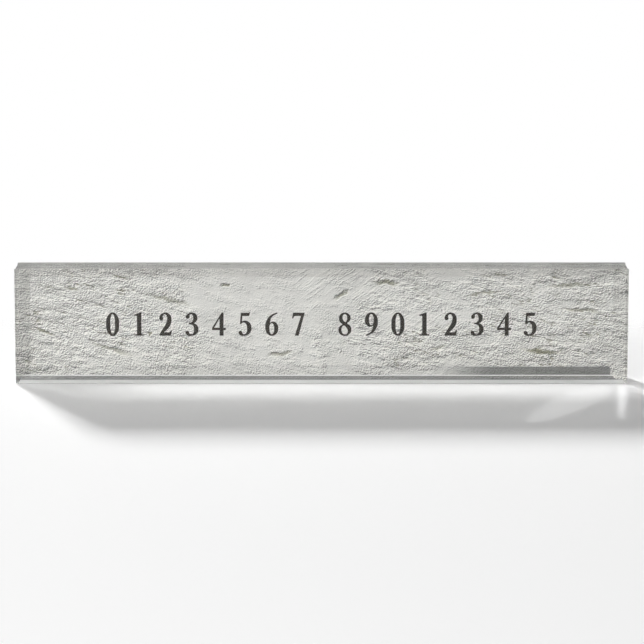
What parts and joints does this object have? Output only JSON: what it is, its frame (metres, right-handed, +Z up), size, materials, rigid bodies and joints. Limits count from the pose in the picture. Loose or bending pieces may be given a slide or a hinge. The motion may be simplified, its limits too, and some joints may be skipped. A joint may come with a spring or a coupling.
{
  "type": "desk nameplate",
  "caption": "Free-standing clear acrylic desk nameplate block with bevelled back edges and a plaster-look print, spaced numerals and white backing bonded behind it.",
  "frame": {"origin": "middle of the footprint, on the surface that the block stands on", "axes": "+X along the length to the reader's right, +Y from the front face to the back, +Z up"},
  "size_m": [0.254, 0.021, 0.0484],
  "materials": {
    "clear_acrylic": "clear cast acrylic with polished faces and edges",
    "clear_film": "clear pressure-sensitive film",
    "plaster_print": "flat print of pale trowelled plaster, read through the block",
    "white_backing": "satin off-white film",
    "dark_ink": "flat dark grey ink"
  },
  "bodies": {
    "root": {"acrylic_block": "clear_acrylic", "adhesive_film": "clear_film", "printed_sheet": "plaster_print", "backing_sheet": "white_backing"}
  },
  "joints": []
}
